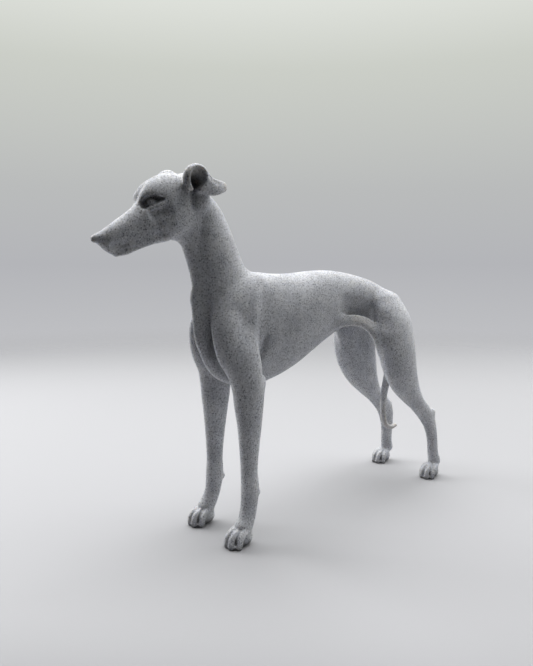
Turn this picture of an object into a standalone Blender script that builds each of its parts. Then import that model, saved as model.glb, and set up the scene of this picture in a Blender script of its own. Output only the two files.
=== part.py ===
"""A standing whippet, printed in one piece: a smooth-coated sighthound on its own four paws.

The figure faces -Y with its left side towards +X, +Z up, and the soles stand on the XY plane.
It is sculpted as a signed distance field: each form, such as the rib cage or a toe, is a lump of
clay blended into the ones before it, and the skin is the surface where the distance is zero.
The left half is sculpted and the right half mirrors it.
"""

import bmesh
import bpy
import numpy as np

# The one driving size, in metres: the height of the withers above the soles.
WITHERS_HEIGHT = 0.110
# All stations below are in hundredths of the withers height.
SHARE = WITHERS_HEIGHT / 100

# Two corners of the block of clay that the left half is sculpted in.
BLOCK_LOW = (0, -48, -2)
BLOCK_HIGH = (22, 130, 139)
# Grid spacing of the clay, and the most triangles that the finished skin keeps.
CELL = 0.62
MOST_TRIANGLES = 9600
# The thinning spares the head, which is above this height and in front of this station, by a
# weight of which this small share counts.
HEAD_ABOVE = 100.0
HEAD_BEFORE = 0.0
HEAD_WEIGHT = 0.5
HEAD_CARE = 0.0008
# The paws are cut flat at this height, and what is left within the slack above it is pressed
# level, so that the figure stands on four soles.
SOLE = 0.4
SOLE_SLACK = 0.15
# The distance given to open air that no clay is near.
FAR = 1e3
# A stroke on the clay fades out at this many times its radius, and reaches this many times
# further along the axis that it is looked at.
FADE = 2.5
SLACK = 4.0

# The tip of the nose, and the angle by which the head's line rises behind it. The eye's line
# rises less.
NOSE_TIP = (0.0, -44.5, 110.5)
HEAD_PITCH = 24.0
EYE_PITCH = -11.0

# The middle of each left paw's sole, and each paw's size beside the fore paw's.
FORE_PAW = ((12.2, 1.8), 1.0)
HIND_PAW = ((14.8, 115.2), 0.95)

# Marble-effect plastic: a pale blue-grey.
PLASTIC_COLOUR = (0.55, 0.56, 0.59, 1.0)
PLASTIC_ROUGHNESS = 0.55


# Smooth curves through stations


def spline(stations, steps):
    """Points on a smooth curve through the rows of stations, with steps points to each stretch."""
    rows = np.asarray(stations, float)
    ends = np.vstack([2 * rows[0] - rows[1], rows, 2 * rows[-1] - rows[-2]])
    t = np.linspace(0, 1, steps, endpoint=False)[:, None]
    curve = []
    for before, start, end, after in zip(ends, ends[1:], ends[2:], ends[3:]):
        curve.append(
            0.5
            * (
                2 * start
                + (end - before) * t
                + (2 * before - 5 * start + 4 * end - after) * t**2
                + (3 * start - before - 3 * end + after) * t**3
            )
        )
    return np.vstack(curve + [rows[-1:]])


def profile(stations, column):
    """A smooth function of the first column of stations that passes through another column."""
    rows = np.asarray(stations, float)
    at, value = rows[:, 0], rows[:, column]
    slope = np.gradient(value, at)

    def curve(s):
        s = np.clip(s, at[0], at[-1])
        i = np.clip(np.searchsorted(at, s) - 1, 0, len(at) - 2)
        span = at[i + 1] - at[i]
        t = (s - at[i]) / span
        return (
            value[i] * (1 + 2 * t) * (1 - t) ** 2
            + slope[i] * span * t * (1 - t) ** 2
            + value[i + 1] * t**2 * (3 - 2 * t)
            + slope[i + 1] * span * t**2 * (t - 1)
        )

    return curve


# Forms: each gives its lowest and highest corner, and its distance at any point


def ellipsoid_distance(u, v, w, a, b, c):
    """Nearly the distance to an ellipsoid with half-axes a, b and c, seen from its own centre."""
    reach = np.sqrt((u / a) ** 2 + (v / b) ** 2 + (w / c) ** 2)
    steepness = np.sqrt((u / a**2) ** 2 + (v / b**2) ** 2 + (w / c**2) ** 2)
    smallest = np.minimum(np.minimum(a, b), c)
    return np.where(
        reach < 0.02, -smallest, reach * (reach - 1) / np.maximum(steepness, 1e-9)
    )


def turned_axes(pitch=0.0, yaw=0.0, roll=0.0):
    """Sideways, lengthwise and upward unit vectors, turned by degrees.

    Pitch lifts the front (-Y) end, yaw swings the front end towards +X, and roll tips the top
    towards +X.
    """
    p, q, r = np.radians([-pitch, yaw, roll])
    about_x = np.array(
        [[1, 0, 0], [0, np.cos(p), -np.sin(p)], [0, np.sin(p), np.cos(p)]]
    )
    about_z = np.array(
        [[np.cos(q), -np.sin(q), 0], [np.sin(q), np.cos(q), 0], [0, 0, 1]]
    )
    about_y = np.array(
        [[np.cos(r), 0, np.sin(r)], [0, 1, 0], [-np.sin(r), 0, np.cos(r)]]
    )
    return (about_z @ about_x @ about_y).T


def ball(centre, half_axes, pitch=0.0, yaw=0.0, roll=0.0):
    """An ellipsoid of clay. Its half-axes point sideways, lengthwise and upwards until it is turned."""
    centre = np.asarray(centre, float)
    across, along, upward = turned_axes(pitch, yaw, roll)
    reach = np.abs(np.outer(half_axes, np.ones(3)) * np.array([across, along, upward]))
    extent = np.sqrt((reach**2).sum(axis=0))

    def distance(x, y, z):
        x, y, z = x - centre[0], y - centre[1], z - centre[2]
        u = x * across[0] + y * across[1] + z * across[2]
        v = x * along[0] + y * along[1] + z * along[2]
        w = x * upward[0] + y * upward[1] + z * upward[2]
        return ellipsoid_distance(u, v, w, *half_axes)

    return centre - extent, centre + extent, distance


def segment(start, end, yaw):
    """One short straight stretch of a limb: rows of x, y, z, half-depth and half-width."""
    axis = end[:3] - start[:3]
    length = np.linalg.norm(axis)
    axis = axis / length
    sideways = np.array([np.cos(np.radians(yaw)), np.sin(np.radians(yaw)), 0.0])
    sideways -= axis * (sideways @ axis)
    sideways /= np.linalg.norm(sideways)
    forward = np.cross(axis, sideways)
    widest = max(start[3], start[4], end[3], end[4])

    def distance(x, y, z):
        x, y, z = x - start[0], y - start[1], z - start[2]
        along = x * axis[0] + y * axis[1] + z * axis[2]
        t = np.clip(along / length, 0, 1)
        depth = start[3] + (end[3] - start[3]) * t
        width = start[4] + (end[4] - start[4]) * t
        u = x * sideways[0] + y * sideways[1] + z * sideways[2]
        v = x * forward[0] + y * forward[1] + z * forward[2]
        return ellipsoid_distance(
            u, v, along - t * length, width, depth, np.minimum(depth, width)
        )

    low = np.minimum(start[:3], end[:3]) - widest
    high = np.maximum(start[:3], end[:3]) + widest
    return low, high, distance


def limb(stations, steps=5, yaw=0.0):
    """A tapering limb of oval section: rows of x, y, z, half-depth fore and aft, and half-width."""
    rows = spline(stations, steps)
    return [segment(start, end, yaw) for start, end in zip(rows, rows[1:])]


def cord(points, radii, steps=5):
    """A round cord of clay through the points, such as a tail, a tendon or the line of a groove."""
    rows = [(*point, radius, radius) for point, radius in zip(points, radii)]
    return limb(rows, steps)


def hull(stations, origin=(0.0, 0.0, 0.0), pitch=0.0, square=2.0):
    """A form lofted along its length like a ship's hull, as the rib cage and the skull are.

    Stations are rows of length, top, bottom, half-width and lift. The length runs back from
    origin, raised by pitch degrees at its back end. Lift makes the upper half of a section wider
    than its lower half, by that share each way.
    """
    rows = np.asarray(stations, float)
    top, bottom, width, lift = (profile(rows, column) for column in (1, 2, 3, 4))
    cos, sin = np.cos(np.radians(pitch)), np.sin(np.radians(pitch))
    first, last = rows[0, 0], rows[-1, 0]

    def distance(x, y, z):
        y, z = y - origin[1], z - origin[2]
        along = y * cos + z * sin
        height = z * cos - y * sin
        s = np.clip(along, first, last)
        middle = (top(s) + bottom(s)) / 2
        half_height = (top(s) - bottom(s)) / 2
        rise = (height - middle) / half_height
        half_width = width(s) * (1 + lift(s) * np.clip(rise, -1.2, 1.2))
        side = np.abs(x) / half_width
        over = (along - s) / np.minimum(half_width, half_height)
        reach = (side**square + np.abs(rise) ** square + np.abs(over) ** square) ** (
            1 / square
        )
        steepness = np.sqrt(
            (side / half_width) ** 2
            + (rise / half_height) ** 2
            + (over / np.minimum(half_width, half_height)) ** 2
        )
        inner = -np.minimum(half_width, half_height)
        return np.where(
            reach < 0.05, inner, reach * (reach - 1) / np.maximum(steepness, 1e-9)
        )

    widest = rows[:, 3].max() * (1 + np.abs(rows[:, 4]).max())
    corners = np.array(
        [
            (s * cos - h * sin + origin[1], s * sin + h * cos + origin[2])
            for s in (first - widest, last + widest)
            for h in (rows[:, 1].max(), rows[:, 2].min())
        ]
    )
    low = np.array([-widest, *corners.min(axis=0)])
    high = np.array([widest, *corners.max(axis=0)])
    return low, high, distance


# The clay itself


class Clay:
    """Signed distances on a grid over the left half of the figure, negative inside the clay."""

    def __init__(self, low, high, cell):
        self.cell = cell
        self.axes = [
            np.arange(cell / 2, high[0], cell),
            np.arange(low[1], high[1], cell),
            np.arange(low[2], high[2], cell),
        ]
        self.field = np.full([len(axis) for axis in self.axes], FAR)

    def window(self, low, high, margin):
        """The part of the grid that a form can change, and the coordinates of its points."""
        cuts = []
        for axis, start, end in zip(self.axes, low, high):
            first = np.searchsorted(axis, start - margin)
            last = np.searchsorted(axis, end + margin)
            cuts.append(slice(first, last))
        points = np.meshgrid(
            *[axis[cut] for axis, cut in zip(self.axes, cuts)],
            indexing="ij",
            sparse=True,
        )
        return tuple(cuts), points

    def measure(self, forms, blend):
        """The joint distance to the forms, and the part of the grid where it matters."""
        forms = forms if isinstance(forms, list) else [forms]
        margin = blend + 2 * self.cell
        low = np.min([form[0] for form in forms], axis=0)
        high = np.max([form[1] for form in forms], axis=0)
        outer, _ = self.window(low, high, margin)
        joint = np.full_like(self.field, FAR) if len(forms) > 1 else None
        for form_low, form_high, distance in forms:
            inner, points = self.window(form_low, form_high, margin)
            value = distance(*points)
            if joint is None:
                return inner, value
            joint[inner] = np.minimum(joint[inner], value)
        return outer, joint[outer]

    def add(self, forms, blend=1.0):
        """Presses clay on, with a fillet about as wide as blend."""
        where, value = self.measure(forms, blend)
        old = self.field[where]
        mix = np.clip(0.5 + 0.5 * (old - value) / blend, 0, 1)
        self.field[where] = old + (value - old) * mix - blend * mix * (1 - mix)

    def cut(self, forms, blend=0.5):
        """Carves clay away, with an edge about as soft as blend."""
        where, value = self.measure(forms, blend)
        old = self.field[where]
        mix = np.clip(0.5 - 0.5 * (old + value) / blend, 0, 1)
        self.field[where] = old + (-value - old) * mix + blend * mix * (1 - mix)

    def press(self, points, radius, depth, across=0):
        """Pushes the skin in by depth, or out where depth is negative, along a line of points.

        The push fades over the radius and towards both ends of the line. Along the axis across it
        reaches much further, so that the line need only lie near the skin.
        """
        rows = spline(points, 4) if len(points) > 1 else np.array([points[0]] * 2)
        reach = np.full(3, FADE * radius)
        reach[across] *= SLACK
        squeeze = np.ones(3)
        squeeze[across] = 1 / SLACK
        cuts, grid = self.window(rows.min(axis=0) - reach, rows.max(axis=0) + reach, 0)
        grid = [axis * scale for axis, scale in zip(grid, squeeze)]
        rows = rows * squeeze
        nearest = np.full(self.field[cuts].shape, FAR)
        place = np.full(self.field[cuts].shape, 0.5)
        for number, (start, end) in enumerate(zip(rows, rows[1:])):
            away = [axis - value for axis, value in zip(grid, start)]
            run = end - start
            along = sum(a * r for a, r in zip(away, run)) / max(run @ run, 1e-9)
            t = np.clip(along, 0, 1)
            gap = sum((a - t * r) ** 2 for a, r in zip(away, run))
            if len(points) > 1:
                place = np.where(gap < nearest, (number + t) / (len(rows) - 1), place)
            nearest = np.minimum(nearest, gap)
        strength = (1 - (2 * place - 1) ** 4) ** 2
        self.field[cuts] += depth * strength * np.exp(-nearest / radius**2)

    def soften(self):
        """Rounds off the creases that are sharper than the grid can show."""
        for axis in range(3):
            field = np.moveaxis(self.field, axis, 0)
            before = field[0] if axis == 0 else field[1]
            ahead = np.concatenate([field[1:], field[-1:]])
            behind = np.concatenate([before[None], field[:-1]])
            self.field = np.moveaxis((behind + 2 * field + ahead) / 4, 0, axis)

    def level(self, height):
        """Cuts everything below a height away."""
        self.field = np.maximum(self.field, height - self.axes[2][None, None, :])

    def fill_pinches(self, rounds=4):
        """Fills in the places where the skin would touch itself along an edge."""
        fill = -0.05 * self.cell
        for _ in range(rounds):
            for first, second in ((0, 1), (0, 2), (1, 2)):
                field = np.moveaxis(self.field, (first, second), (0, 1))
                near, far = field[:-1, :-1], field[1:, 1:]
                left, right = field[1:, :-1], field[:-1, 1:]
                pinch = ((near < 0) == (far < 0)) & ((left < 0) == (right < 0))
                pinch &= (near < 0) != (left < 0)
                for corner in (near, far, left, right):
                    corner[pinch & (corner > fill)] = fill

    def skin(self):
        """The surface of both halves as points and quads, one point to each grid cell it crosses."""
        field = np.concatenate([self.field[::-1], self.field])
        origin = np.array([-self.axes[0][-1], self.axes[1][0], self.axes[2][0]])
        corners = np.array([(i, j, k) for i in (0, 1) for j in (0, 1) for k in (0, 1)])
        cells = np.array(field.shape) - 1
        inside = np.zeros(cells, int)
        for i, j, k in corners:
            inside += (
                field[i : i + cells[0], j : j + cells[1], k : k + cells[2]] < 0
            )
        crossed = np.argwhere((inside > 0) & (inside < len(corners)))
        number = np.full(cells, -1)
        number[tuple(crossed.T)] = np.arange(len(crossed))
        at = (crossed[:, None] + corners[None]).reshape(-1, 3)
        value = field[tuple(at.T)].reshape(-1, len(corners))
        total = np.zeros((len(crossed), 3))
        count = np.zeros(len(crossed))
        for a in range(len(corners)):
            for b in range(a + 1, len(corners)):
                if np.abs(corners[a] - corners[b]).sum() != 1:
                    continue
                cuts = (value[:, a] < 0) != (value[:, b] < 0)
                t = value[cuts, a] / (value[cuts, a] - value[cuts, b])
                total[cuts] += corners[a] + t[:, None] * (corners[b] - corners[a])
                count[cuts] += 1
        points = crossed + total / count[:, None]
        quads = np.vstack([self.quads(field, number, axis) for axis in range(3)])
        points = self.settle(field, points)
        return origin + points * self.cell, quads

    @staticmethod
    def quads(field, number, axis):
        """The faces round the grid edges that run along one axis and pass through the skin."""
        one, two = (axis + 1) % 3, (axis + 2) % 3
        ahead = [slice(1, -1)] * 3
        ahead[axis] = slice(1, None)
        here = [slice(1, -1)] * 3
        here[axis] = slice(None, -1)
        start, end = field[tuple(here)] < 0, field[tuple(ahead)] < 0
        edge = np.argwhere(start != end)
        outward = start[tuple(edge.T)]
        edge[:, one] += 1
        edge[:, two] += 1
        ring = []
        for back_one, back_two in ((1, 1), (0, 1), (0, 0), (1, 0)):
            cell = edge.copy()
            cell[:, one] -= back_one
            cell[:, two] -= back_two
            ring.append(number[tuple(cell.T)])
        ring = np.array(ring).T
        return np.where(outward[:, None], ring, ring[:, ::-1])

    @staticmethod
    def settle(field, points, rounds=3):
        """Moves each point onto the zero of the field, along the field's slope."""
        slopes = np.gradient(field)
        top = np.array(field.shape) - 2
        for _ in range(rounds):
            base = np.clip(np.floor(points).astype(int), 0, top)
            part = points - base
            value = 0.0
            slope = np.zeros_like(points)
            for i in (0, 1):
                for j in (0, 1):
                    for k in (0, 1):
                        weight = (
                            (part[:, 0] if i else 1 - part[:, 0])
                            * (part[:, 1] if j else 1 - part[:, 1])
                            * (part[:, 2] if k else 1 - part[:, 2])
                        )
                        at = tuple((base + (i, j, k)).T)
                        value = value + weight * field[at]
                        slope += weight[:, None] * np.stack(
                            [s[at] for s in slopes], axis=1
                        )
            step = value[:, None] * slope / (slope**2).sum(axis=1)[:, None]
            points = points - np.clip(step, -0.5, 0.5)
        return points


# The whippet


def sculpt_trunk(clay):
    """The rib cage, the arched loin and the croup, with the keel of the breastbone below."""
    trunk = [
        # length, top, bottom, half-width, lift
        (-2, 88, 72, 5.0, 0.05),
        (3, 94, 64, 8.0, 0.12),
        (9, 97.5, 59, 9.8, 0.16),
        (18, 99.4, 56.3, 10.9, 0.18),
        (28, 98.8, 57.8, 11.3, 0.16),
        (38, 98.8, 61.3, 11.2, 0.12),
        (48, 99.6, 66.4, 10.4, 0.10),
        (57, 99.9, 71.0, 9.2, 0.08),
        (66, 99.2, 74.6, 8.3, 0.05),
        (76, 97.5, 76.2, 8.2, 0.0),
        (86, 94.9, 75.6, 8.4, 0.0),
        (94, 91.2, 75.0, 7.4, 0.0),
        (101, 85.4, 76.0, 5.2, 0.0),
    ]
    clay.add(hull(trunk, square=2.15), 1.0)
    keel = [
        (0, -5.6, 90.0),
        (0, -3.8, 83.0),
        (0, -2.9, 77.0),
        (0, -2.2, 72.0),
        (0, 0.2, 66.5),
        (0, 4.2, 62.2),
        (0, 11.0, 59.0),
    ]
    clay.add(cord(keel, [2.4, 2.5, 2.6, 2.7, 2.7, 2.6, 2.4]), 3.5)


def sculpt_neck(clay):
    """The long arched neck."""
    neck = [
        (0, 8.8, 83.0, 14.0, 8.4),
        (0, 5.2, 92.0, 12.5, 7.7),
        (0, 1.8, 102.0, 10.9, 6.9),
        (0, -1.3, 110.5, 10.2, 6.3),
        (0, -5.4, 118.0, 9.6, 6.0),
        (0, -11.2, 123.5, 7.8, 5.8),
    ]
    clay.add(limb(neck, 9), 4.5)


def sculpt_head(clay):
    """The long skull and muzzle, with the lower jaw set in below."""
    skull = [
        # length back from the nose, top, bottom, half-width, lift
        (1.0, 0.4, -2.0, 1.3, 0.0),
        (3.6, 0.7, -6.9, 2.4, 0.05),
        (6.0, 1.1, -7.7, 2.9, 0.14),
        (10.0, 1.9, -8.0, 3.4, 0.14),
        (14.0, 2.7, -8.5, 3.9, 0.06),
        (18.0, 3.8, -9.2, 4.6, 0.0),
        (21.0, 5.4, -9.6, 5.2, 0.12),
        (24.0, 8.0, -10.2, 6.0, 0.18),
        (28.0, 9.5, -12.6, 6.8, 0.16),
        (33.0, 9.5, -13.7, 7.1, 0.08),
        (38.0, 7.4, -8.0, 6.2, 0.0),
    ]
    clay.add(hull(skull, NOSE_TIP, HEAD_PITCH, square=2.25), 2.5)
    jaw = [
        (6.0, -5.0, -8.8, 1.6, 0.0),
        (8.2, -5.0, -9.4, 2.3, 0.0),
        (12.0, -5.5, -9.5, 2.8, 0.0),
        (18.0, -6.0, -10.0, 3.6, 0.0),
        (24.0, -6.5, -11.2, 4.4, 0.0),
    ]
    clay.add(hull(jaw, NOSE_TIP, HEAD_PITCH, square=2.4), 0.6)
    clay.add(ball(on_head(2.0, -0.6, 0.0), (1.5, 1.8, 1.1), pitch=-HEAD_PITCH), 0.7)
    clay.add(ball(on_head(24.8, 5.4, 2.3), (2.7, 4.6, 2.6), pitch=-HEAD_PITCH - 8), 2.6)
    clay.add(ball(on_head(28.0, -4.8, 4.6), (2.5, 5.6, 5.0), pitch=-HEAD_PITCH), 2.0)


def on_head(back, up, side):
    """The place so far back from the tip of the nose, up from the muzzle's line and sideways."""
    pitch = np.radians(HEAD_PITCH)
    return (
        side,
        NOSE_TIP[1] + back * np.cos(pitch) - up * np.sin(pitch),
        NOSE_TIP[2] + back * np.sin(pitch) + up * np.cos(pitch),
    )


def carve_face(clay):
    """The eye in its socket, the hollow of the cheek, the nostril and the line of the mouth."""
    cheek = [on_head(19.0, -0.2, 4.8), on_head(22.5, -0.6, 5.5), on_head(27.5, -1.6, 6.5)]
    clay.press(cheek, 2.0, 1.3)
    orbit = [on_head(19.9, 3.1, 3.5), on_head(22.6, 3.6, 4.9), on_head(25.6, 2.7, 6.1)]
    clay.cut(cord(orbit, [1.6, 1.7, 0.6]), 0.5)
    clay.add(ball(on_head(22.6, 2.9, 3.1), (1.3, 1.7, 1.3), pitch=EYE_PITCH), 0.3)
    lid = [on_head(19.8, 1.9, 4.4), on_head(22.4, 1.1, 5.0), on_head(25.4, 1.4, 5.7)]
    clay.press(lid, 0.7, -0.35)
    mouth = [
        on_head(4.2, -6.7, 1.6),
        on_head(8.0, -7.5, 2.4),
        on_head(12.0, -8.1, 3.0),
        on_head(17.0, -8.6, 3.8),
    ]
    clay.press(mouth, 0.5, 0.6)
    clay.press([on_head(3.4, -4.2, 2.0), on_head(6.2, -5.2, 2.5), on_head(10.4, -6.0, 3.0)], 1.4, 1.0)
    nostril = [on_head(2.6, -1.8, 1.3), on_head(3.4, -2.6, 1.7), on_head(4.4, -3.4, 2.0)]
    clay.press(nostril, 0.5, 0.3)


def sculpt_foreleg(clay):
    """The shoulder, the upper arm laid back to the elbow, and the straight foreleg."""
    shoulder = [
        (4.2, 18.0, 94.5, 4.0, 2.8),
        (6.4, 9.2, 88.0, 8.0, 3.9),
        (7.5, 5.0, 80.0, 8.6, 4.9),
        (8.7, 5.2, 72.0, 8.1, 5.4),
    ]
    foreleg = [
        (9.7, 7.9, 64.0, 7.0, 5.3),
        (10.4, 8.9, 58.0, 6.5, 4.95),
        (10.6, 9.0, 52.0, 5.9, 4.6),
        (10.9, 9.0, 44.0, 4.85, 3.9),
        (11.0, 8.8, 36.0, 3.95, 3.35),
        (11.1, 8.6, 27.0, 3.3, 2.95),
        (11.4, 8.7, 20.0, 3.5, 3.35),
        (11.6, 8.0, 14.0, 3.2, 3.0),
        (12.0, 6.6, 9.5, 3.2, 3.1),
        (12.2, 4.6, 6.4, 3.4, 3.4),
    ]
    clay.add(limb(shoulder + foreleg, 13), 2.0)
    clay.add(ball((11.3, 12.2, 18.2), (1.3, 1.2, 1.6)), 0.8)
    clay.add(ball((11.4, 13.6, 59.4), (2.2, 2.0, 3.6), pitch=15), 1.2)


def sculpt_paw(clay, centre, size):
    """Four arched toes round a broad pad. The centre is the middle of the sole, on the ground."""
    x, y = centre
    clay.add(ball((x, y + 2.2 * size, 3.4 * size), (3.6 * size, 4.5 * size, 3.5 * size)), 1.0)
    toes = [(-3.0, -1.1, 0.95), (-1.15, -3.0, 1.05), (1.15, -3.0, 1.05), (3.0, -1.1, 0.95)]
    for side, front, girth in toes:
        toe = cord(
            [
                (x + 0.55 * side * size, y + (front + 5.2) * size, 6.2 * size),
                (x + 0.85 * side * size, y + (front + 2.3) * size, 5.6 * size),
                (x + side * size, y + (front + 0.2) * size, 3.8 * size),
                (x + side * size, y + front * size, 1.4 * size),
            ],
            [1.5 * girth * size, 1.6 * girth * size, 1.5 * girth * size, 1.4 * girth * size],
            3,
        )
        clay.add(toe, 0.35)


def sculpt_hindleg(clay):
    """The broad thigh, the bent stifle, the gaskin and the upright hock."""
    thigh = [
        (6.5, 90.5, 85.0, 10.6, 5.5),
        (10.0, 90.8, 77.0, 12.6, 6.6),
        (12.0, 91.3, 68.5, 11.9, 6.6),
        (12.7, 93.0, 60.0, 11.0, 6.4),
        (12.6, 96.5, 52.0, 9.4, 5.4),
        (12.7, 101.7, 44.2, 6.4, 4.1),
        (12.8, 107.2, 38.0, 4.4, 3.1),
        (12.8, 113.3, 32.2, 4.4, 2.6),
        (13.2, 117.1, 27.0, 4.5, 2.35),
        (13.7, 118.9, 20.0, 3.5, 2.3),
        (14.2, 119.4, 12.0, 3.0, 2.4),
        (14.5, 120.4, 7.5, 3.2, 2.8),
    ]
    clay.add(limb(thigh, 13, yaw=9.5), 3.0)
    clay.add(ball((13.2, 118.6, 31.0), (1.6, 2.4, 2.4)), 1.2)


def sculpt_flank(clay):
    """The thin fold of skin from the belly to the thigh, and the hollow above it."""
    fold = [
        (5.2, 51.0, 76.6, 3.0, 1.0),
        (6.8, 57.0, 78.7, 3.0, 1.1),
        (7.9, 63.0, 79.3, 3.0, 1.2),
        (8.7, 69.0, 79.3, 3.2, 1.3),
        (9.6, 75.5, 77.2, 3.6, 1.5),
        (10.8, 81.0, 72.0, 4.0, 1.8),
        (11.2, 85.0, 65.0, 4.4, 1.8),
    ]
    clay.add(limb(fold, 16), 1.4)
    hollow = [(10.5, 56.0, 84.6), (11.0, 66.0, 84.0), (12.0, 76.0, 81.0), (13.5, 84.5, 72.0)]
    clay.press(hollow, 3.6, 1.9)


def carve_shoulder(clay):
    """The furrow down the neck, the groove before the shoulder and the fold behind the upper arm."""
    furrow = [(4.5, -6.4, 118), (4.5, -7.2, 110), (4.5, -7.0, 103), (4.4, -5.9, 96), (4.2, -5.0, 89)]
    clay.press(furrow, 1.9, 0.9)
    groove = [(3.6, -7.4, 98), (3.6, -6.9, 93), (3.6, -6.2, 88), (3.7, -5.6, 78), (4.4, -3.4, 68)]
    for start in range(3):
        clay.press(groove[start:], 1.9, 0.9, across=1)
    ridge = [(5.8, -5.6, 93), (6.1, -5.2, 84), (7.0, -3.6, 74), (8.6, -0.4, 63)]
    clay.press(ridge, 1.7, -0.6, across=1)
    armpit = [(11, 17.8, 78), (12, 16.6, 72), (13, 15.2, 66), (13, 13.6, 59)]
    clay.press(armpit, 1.2, 1.5)
    clay.press([(10, 2.0, 90.0), (11, 5.5, 82), (12, 5.0, 72)], 3.2, 0.6)
    blade = [(9, 15.0, 97), (12, 12.0, 86), (13, 11.6, 74), (13, 10.4, 60)]
    clay.press(blade, 2.4, -0.6)


def sculpt_tail(clay):
    """The tail hangs from the croup between the hind legs, and its tip curls back."""
    points = [
        (0, 99.5, 82.0),
        (0, 105.6, 78.6),
        (0, 108.0, 72.0),
        (0, 105.5, 61.0),
        (0, 101.5, 50.0),
        (0, 98.8, 40.0),
        (0, 98.5, 32.0),
        (0, 100.4, 26.2),
        (0, 104.3, 23.9),
        (0, 108.2, 24.2),
    ]
    radii = [3.2, 2.6, 2.2, 2.1, 1.9, 1.6, 1.4, 1.25, 1.1, 0.9]
    clay.add(cord(points, radii), 1.5)


def sculpt_ear(clay):
    """The rose ear: a hooded opening at the side of the skull, and a flap folded back from it."""
    clay.add(ball((8.7, -11.3, 130.6), (2.9, 4.9, 4.75), roll=10), 1.2)
    flap = [
        (9.5, -9.2, 129.7, 3.6, 1.3),
        (9.1, -5.7, 128.3, 3.1, 1.4),
        (8.4, -2.0, 128.4, 2.5, 1.3),
        (7.6, 0.8, 128.8, 1.8, 1.0),
    ]
    clay.add(ball((5.4, -7.8, 124.0), (3.0, 3.8, 4.0)), 2.0)
    clay.add(limb(flap), 0.9)
    hollow = cord(
        [(11.4, -11.5, 131.0), (10.2, -11.6, 129.8), (9.0, -11.7, 128.0)],
        [3.0, 2.7, 1.2],
        4,
    )
    clay.cut(hollow, 0.5)
    clay.press([(9.8, -11.0, 128.6), (8.6, -11.7, 124.6), (7.6, -11.7, 120.0)], 0.9, 0.9)


def sculpt():
    """The whole figure in clay."""
    clay = Clay(BLOCK_LOW, BLOCK_HIGH, CELL)
    sculpt_trunk(clay)
    sculpt_neck(clay)
    sculpt_hindleg(clay)
    sculpt_flank(clay)
    sculpt_foreleg(clay)
    carve_shoulder(clay)
    sculpt_head(clay)
    carve_face(clay)
    sculpt_ear(clay)
    sculpt_tail(clay)
    sculpt_paw(clay, *FORE_PAW)
    sculpt_paw(clay, *HIND_PAW)
    clay.soften()
    clay.level(SOLE)
    clay.fill_pinches()
    return clay


def main():
    for old in list(bpy.data.objects):
        bpy.data.objects.remove(old, do_unlink=True)
    points, quads = sculpt().skin()
    whippet = make_object("whippet", points * SHARE, quads)
    lighten(whippet)
    stand_on_soles(whippet)
    whippet.data.materials.append(plastic())


def make_object(name, points, faces):
    mesh = bpy.data.meshes.new(name)
    mesh.from_pydata(points.tolist(), [], faces.tolist())
    made = bpy.data.objects.new(name, mesh)
    bpy.context.scene.collection.objects.link(made)
    return made


def lighten(figure):
    """Keeps only as many triangles as the form needs, most of them where it bends most."""
    mesh = bmesh.new()
    mesh.from_mesh(figure.data)
    bmesh.ops.triangulate(mesh, faces=mesh.faces)
    mesh.to_mesh(figure.data)
    head = figure.vertex_groups.new(name="head")
    spared = [
        vertex.index
        for vertex in figure.data.vertices
        if vertex.co.z > HEAD_ABOVE * SHARE and vertex.co.y < HEAD_BEFORE * SHARE
    ]
    head.add(spared, HEAD_WEIGHT, "REPLACE")
    thinning = figure.modifiers.new("thinning", "DECIMATE")
    thinning.vertex_group = head.name
    thinning.vertex_group_factor = HEAD_CARE
    thinning.invert_vertex_group = True
    thinning.ratio = MOST_TRIANGLES / len(mesh.faces)
    thinning.use_symmetry = True
    thinning.symmetry_axis = "X"
    mesh.free()
    seen = figure.evaluated_get(bpy.context.evaluated_depsgraph_get())
    thin = bpy.data.meshes.new_from_object(seen)
    figure.modifiers.clear()
    figure.data = thin


def stand_on_soles(figure):
    """Presses the soles exactly level, and puts the origin under the middle of the figure."""
    points = np.empty(3 * len(figure.data.vertices))
    figure.data.vertices.foreach_get("co", points)
    points = points.reshape(-1, 3)
    ground = SOLE * SHARE
    low = points[:, 2] < ground + SOLE_SLACK * SHARE
    points[low, 2] = ground
    points[:, 1] -= (points[:, 1].min() + points[:, 1].max()) / 2
    points[:, 2] -= ground
    figure.data.vertices.foreach_set("co", points.ravel())
    figure.data.update()
    figure.data.shade_smooth()


def plastic():
    material = bpy.data.materials.new("marble_plastic")
    material.use_nodes = True
    shader = material.node_tree.nodes["Principled BSDF"]
    shader.inputs["Base Color"].default_value = PLASTIC_COLOUR
    shader.inputs["Roughness"].default_value = PLASTIC_ROUGHNESS
    shader.inputs["Metallic"].default_value = 0.0
    return material


main()
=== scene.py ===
import math

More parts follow.
